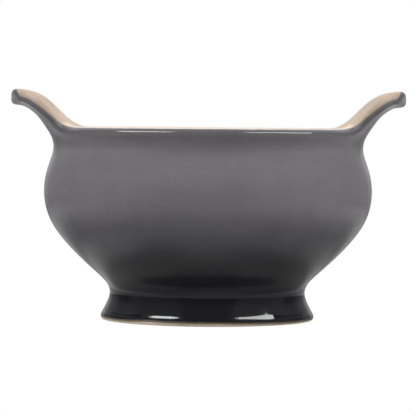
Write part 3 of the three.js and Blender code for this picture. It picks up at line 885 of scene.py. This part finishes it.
# Low, even fill from all sides, as from a white table running up into a white sweep.
for i in range(6):
    a = math.radians(60 * i)
    data = bpy.data.lights.new("fill_%d" % i, "AREA")
    data.shape, data.size, data.size_y = "RECTANGLE", 1.0, 0.2
    data.energy = 0.62
    o = bpy.data.objects.new(data.name, data)
    spot = Vector((math.sin(a), -math.cos(a), 0.07)) * 1.5
    o.matrix_world = Matrix.Translation(spot) @ spot.to_track_quat("Z", "Y").to_matrix().to_4x4()
    o.visible_glossy = o.visible_camera = False
    bpy.context.scene.collection.objects.link(o)
    # and a low beam that only reaches the bare edge of the foot
    data = bpy.data.lights.new("foot_%d" % i, "SPOT")
    data.energy, data.shadow_soft_size = (10.5, 9.0, 7.5, 7.5, 5.5, 6.0)[i], 0.02
    data.spot_size, data.spot_blend = math.radians(11.74), 0.05
    o = bpy.data.objects.new(data.name, data)
    spot = Vector((1.5 * math.sin(a), -1.5 * math.cos(a), 0.04))
    o.matrix_world = Matrix.Translation(spot) @ (spot - Vector((0, 0, -0.14))).to_track_quat("Z", "Y").to_matrix().to_4x4()
    o.visible_glossy = o.visible_camera = False
    bpy.context.scene.collection.objects.link(o)

# The room: dim on the camera's side, paler behind the bowl, with a white table below.
world = bpy.data.worlds.new("studio")
bpy.context.scene.world = world
world.use_nodes = True
n = Nodes(world.node_tree)
out = n.add("ShaderNodeOutputWorld")
bg = n.add("ShaderNodeBackground")
n.t.links.new(bg.outputs[0], out.inputs[0])
way = n.add("ShaderNodeTexCoord").outputs["Generated"]
sep = n.add("ShaderNodeSeparateXYZ")
n.put(sep.inputs[0], way)
level = n.span(sep.outputs[2], -0.25, 0.75, soft=False)
heading = n.add("ShaderNodeCombineXYZ")
n.put(heading.inputs[0], sep.outputs[0])
n.put(heading.inputs[1], sep.outputs[1])
turn = n.add("ShaderNodeVectorMath", operation="NORMALIZE")
n.put(turn.inputs[0], heading.outputs[0])
sides = n.add("ShaderNodeSeparateXYZ")
n.put(sides.inputs[0], turn.outputs[0])
ahead = n.math("MULTIPLY", sides.outputs[1], -1.0)


def wall(*stops):
    return n.ramp(level, [(p, (v, v, v * 1.015)) for p, v in stops])


front = wall((0.0, 0.34), (0.12, 0.24), (0.25, 0.15), (0.42, 0.17), (0.69, 0.21), (0.94, 0.26), (1.0, 0.27))
flank = wall((0.0, 0.34), (0.16, 0.28), (0.25, 0.26), (0.42, 0.26), (0.62, 0.30), (0.82, 0.35), (1.0, 0.40))
side = wall((0.0, 0.24), (0.16, 0.15), (0.25, 0.13), (0.42, 0.14), (0.55, 0.19), (0.66, 0.28), (0.76, 0.42), (0.82, 0.46), (0.865, 0.22), (1.0, 0.17))
back = wall((0.0, 0.29), (0.16, 0.21), (0.25, 0.20), (0.42, 0.27), (0.52, 0.32), (0.62, 0.42), (0.75, 0.47))
far = wall((0.0, 0.29), (0.14, 0.24), (0.25, 0.34), (0.31, 0.50), (0.40, 0.60), (0.55, 0.64), (0.75, 0.60))
right = n.span(sides.outputs[0], -0.4, 0.4, 0.97, 1.15)
paler = n.add("ShaderNodeCombineColor")
for s in paler.inputs[:3]:
    n.put(s, right)
flank = n.mix(1.0, flank, paler.outputs[0], "MULTIPLY")
room = n.mix(n.span(ahead, 0.76, 0.88), flank, front)
room = n.mix(n.span(ahead, -0.32, -0.10), side, room)
room = n.mix(n.span(ahead, -0.85, -0.50), back, room)
room = n.mix(n.span(ahead, -0.94, -0.85), far, room)
# the side walls end in a level top edge, with a darker gap above it
across = n.math("ADD", n.math("MULTIPLY", n.math("ABSOLUTE", sep.outputs[0]), 0.9455), n.math("MULTIPLY", sep.outputs[1], -0.3256))
above = n.math("DIVIDE", sep.outputs[2], n.math("MAXIMUM", across, 0.05))
above = n.math("SUBTRACT", above, n.span(sep.outputs[0], -0.1, 0.1, 0.795, 0.765))
gap = n.math("MULTIPLY", n.span(above, -0.03, 0.03), n.span(above, 0.14, 0.34, 1.0, 0.0))
gap = n.math("MULTIPLY", gap, n.math("MULTIPLY", n.span(ahead, -0.10, 0.05, 1.0, 0.0), n.span(across, 0.30, 0.42)))
room = n.mix(n.math("MULTIPLY", gap, 0.65), room, (0.07, 0.07, 0.071, 1.0))
room = n.mix(n.span(sep.outputs[2], 0.78, 0.96), room, (0.12, 0.12, 0.122, 1.0))
seen = n.add("ShaderNodeLightPath").outputs["Is Camera Ray"]
n.put(bg.inputs["Color"], n.mix(seen, room, (1.0, 1.0, 1.0, 1.0)))

scene = bpy.context.scene
scene.view_settings.view_transform = "Standard"
scene.view_settings.look = "None"

# The camera stands 1.15 m in front, a little above the rim, and is held a trace out of level.
cam_data = bpy.data.cameras.new("camera")
cam_data.sensor_width = 36.0
cam_data.lens = 230.8
cam_data.clip_end = 50.0
camera = bpy.data.objects.new("camera", cam_data)
scene.collection.objects.link(camera)
eye, aim = Vector((0.00007, -1.150, 0.0860)), Vector((0.00007, 0.0, 0.0479))
turn_to = (aim - eye).to_track_quat("-Z", "Y").to_matrix() @ Matrix.Rotation(math.radians(0.45), 3, "Z")
camera.matrix_world = Matrix.Translation(eye) @ turn_to.to_4x4()
scene.camera = camera

bpy.context.view_layer.update()
